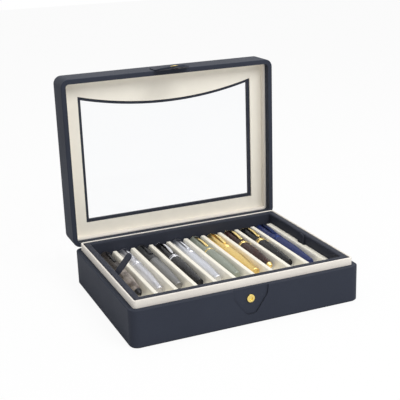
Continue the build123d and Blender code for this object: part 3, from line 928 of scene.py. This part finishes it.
def make_pens(shop: Workshop) -> list[Pen]:
    """Lists the ten pens from left to right.

    Args:
        shop: where the shared finishes come from.

    Returns:
        The pens.
    """
    black = Turned(linear(14, 14, 16), linear(22, 22, 24), roughness=0.16)
    umber = Turned(linear(70, 64, 60), linear(48, 44, 42), roughness=0.25)
    wood = Turned(linear(158, 148, 140), linear(92, 82, 76), Pattern.MARBLE, roughness=0.28)
    silver = Turned(linear(228, 228, 232), linear(186, 186, 192), Pattern.CHEVRON, 1.0, 0.32,
                    turns=24)
    barley = Turned(linear(232, 234, 240), linear(194, 196, 204), Pattern.GUILLOCHE, 1.0, 0.3)
    matte = Turned(linear(66, 67, 68), linear(54, 55, 56), roughness=0.46, coat=0.0)
    gunmetal = Turned(linear(150, 150, 150), linear(120, 120, 121), Pattern.PINSTRIPE, 1.0, 0.36,
                      turns=30)
    stripe = Turned(linear(14, 14, 16), linear(32, 32, 35), Pattern.PINSTRIPE, roughness=0.18,
                    turns=26)
    sage = Turned(linear(158, 164, 152), linear(140, 146, 135), Pattern.PINSTRIPE, 0.4, 0.34,
                  turns=30)
    gold = Turned(linear(248, 222, 150), linear(222, 184, 104), Pattern.GUILLOCHE, 1.0, 0.26)
    brown = Turned(linear(62, 38, 34), linear(40, 22, 20), Pattern.MARBLE, roughness=0.24)
    navy = Turned(linear(40, 52, 104), linear(30, 40, 84), roughness=0.36, coat=0.1)
    chrome = (Stock.CHROME, "chrome")
    golden = (Stock.GOLD, "gold")
    arched = Clip(3.2, 1.6, 1.7)
    table = (
        (umber, wood, Stock.BLACK, "dark_resin", 0, Clip(1.6, 1.2, 1.7)),
        (silver, silver, *chrome, 2, Clip(2.2, 1.3, 1.6)),
        (matte, gunmetal, Stock.BLACK, "anthracite", 0, Clip(1.6, 1.1, 2.3)),
        (black, stripe, *chrome, 2, arched),
        (barley, barley, *chrome, 2, Clip(1.6, 1.1, 2.0)),
        (sage, sage, *golden, 1, Clip(1.8, 1.1, 1.8)),
        (gold, gold, *golden, 2, arched),
        (brown, brown, *golden, 1, arched),
        (black, stripe, *golden, 2, arched),
        (navy, navy, Stock.BLUE, "navy_lacquer", 1, Clip(3.0, 1.4, 2.0)),
    )
    return [Pen(shop, count + 1, *row) for count, row in enumerate(table)]


@dataclass(frozen=True)
class Lamp:
    """One soft square lamp: its place and side in metres, its power in watts."""

    name: str
    place: RGB
    watts: float
    side: float

    def hang(self, target: RGB) -> None:
        """Hangs the lamp so that it faces a point."""
        data = bpy.data.lights.new(self.name, "AREA")
        data.energy = self.watts
        data.size = self.side
        body = bpy.data.objects.new(self.name, data)
        body.location = self.place
        aim = Vector(target) - Vector(self.place)
        body.rotation_euler = aim.to_track_quat("-Z", "Y").to_euler()
        bpy.context.scene.collection.objects.link(body)


LAMPS = (
    Lamp("key", (0.5, -1.15, 1.35), 17.0, 0.9),
    Lamp("fill", (-1.1, -0.7, 0.9), 0.4, 1.0),
    Lamp("top", (0.1, 0.1, 1.6), 7.0, 1.0),
)


@dataclass
class Studio:
    """Camera, lamps, world and floor; angles in radians, the focal length in pixels."""

    eye: RGB = (-0.42544, -0.98643, 0.46656)
    yaw: float = 0.396237
    pitch: float = 0.313766
    roll: float = -0.034198
    focal: float = 896.862
    image: float = 400.0
    centre: tuple[float, float] = (200.93, 204.25)
    sensor: float = 36.0
    nearest: float = 0.01
    target: RGB = (0.0, 0.0, 0.1)
    sky: float = 0.5
    floor_tone: float = 0.86
    floor_white: float = 0.93
    floor_reach: float = 4.0
    floor_drop: float = 0.2 * MM

    def camera(self) -> None:
        """Sets the camera at the photograph's angle."""
        sy, cy = math.sin(self.yaw), math.cos(self.yaw)
        sp, cp = math.sin(self.pitch), math.cos(self.pitch)
        ahead = Vector((sy * cp, cy * cp, -sp))
        level = Vector((cy, -sy, 0.0))
        up = level.cross(ahead)
        cr, sr = math.cos(self.roll), math.sin(self.roll)
        right, top = level * cr + up * sr, up * cr - level * sr
        data = bpy.data.cameras.new("camera")
        data.sensor_width = self.sensor
        data.lens = self.focal / self.image * self.sensor
        half = self.image / 2
        data.shift_x = (half - self.centre[0]) / self.image
        data.shift_y = (self.centre[1] - half) / self.image
        data.clip_start = self.nearest
        body = bpy.data.objects.new("camera", data)
        turn = Matrix((right, top, -ahead)).transposed().to_4x4()
        body.matrix_world = Matrix.Translation(Vector(self.eye)) @ turn
        bpy.context.scene.collection.objects.link(body)
        bpy.context.scene.camera = body

    def white_seen(self, graph: Graph, glossy: float) -> Channel:
        """Share of white that each kind of ray sees in the background.

        Args:
            graph: the material or world to add the nodes to.
            glossy: share of white that reflections see.
        """
        rays = graph.node("ShaderNodeLightPath").socket.node.outputs
        kinds = ("Is Camera Ray", "Is Glossy Ray", "Is Transmission Ray")
        camera, mirror, through = [Channel(graph, rays[kind]) for kind in kinds]
        return (camera + mirror * glossy + through).at_most(1.0)

    def world(self) -> None:
        """Makes the world: plain white to look at, and dimmer as a light."""
        world = bpy.data.worlds.new("studio")
        world.use_nodes = True
        world.node_tree.nodes.clear()
        graph = Graph(world.node_tree)
        strength = self.white_seen(graph, 1.0) * (1 - self.sky) + self.sky
        sky = graph.node("ShaderNodeBackground", inputs={"Color": WHITE, "Strength": strength})
        graph.node("ShaderNodeOutputWorld", inputs={"Surface": sky})
        bpy.context.scene.world = world

    def floor(self) -> None:
        """Makes the pale floor, which reflections see darker than the camera does."""
        material = bpy.data.materials.new("floor")
        material.use_nodes = True
        material.node_tree.nodes.clear()
        graph = Graph(material.node_tree)
        tone = (self.floor_tone,) * 3 + (1.0,)
        plain = graph.node("ShaderNodeBsdfDiffuse", inputs={"Color": tone})
        glow = graph.node("ShaderNodeEmission", inputs={"Color": WHITE, "Strength": 1.0})
        share = self.white_seen(graph, 0.0) * self.floor_white
        mixed = graph.node("ShaderNodeMixShader", inputs={0: share, 1: plain, 2: glow})
        graph.node("ShaderNodeOutputMaterial", inputs={"Surface": mixed})
        mesh = bpy.data.meshes.new("floor")
        signs = ((-1, -1), (1, -1), (1, 1), (-1, 1))
        corners = [(x * self.floor_reach, y * self.floor_reach, -self.floor_drop)
                   for x, y in signs]
        mesh.from_pydata(corners, [], [(0, 1, 2, 3)])
        mesh.materials.append(material)
        floor = bpy.data.objects.new("floor", mesh)
        bpy.context.scene.collection.objects.link(floor)

    def build(self) -> None:
        """Sets up everything round the chest."""
        self.camera()
        for lamp in LAMPS:
            lamp.hang(self.target)
        self.world()
        self.floor()
        bpy.context.scene.view_settings.view_transform = "Standard"


def main() -> None:
    """Builds and dresses the chest."""
    logging.basicConfig(level=logging.INFO, format="%(name)s: %(message)s")
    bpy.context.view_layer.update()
    shop = Workshop()
    for assembly in (Base(shop), Lid(shop), Tray(shop)):
        assembly.dress()
    bands, clips = band_recipe(), clip_recipe()
    for pen in make_pens(shop):
        pen.dress(bands, clips)
    Studio().build()


if __name__ == "__main__":
    main()
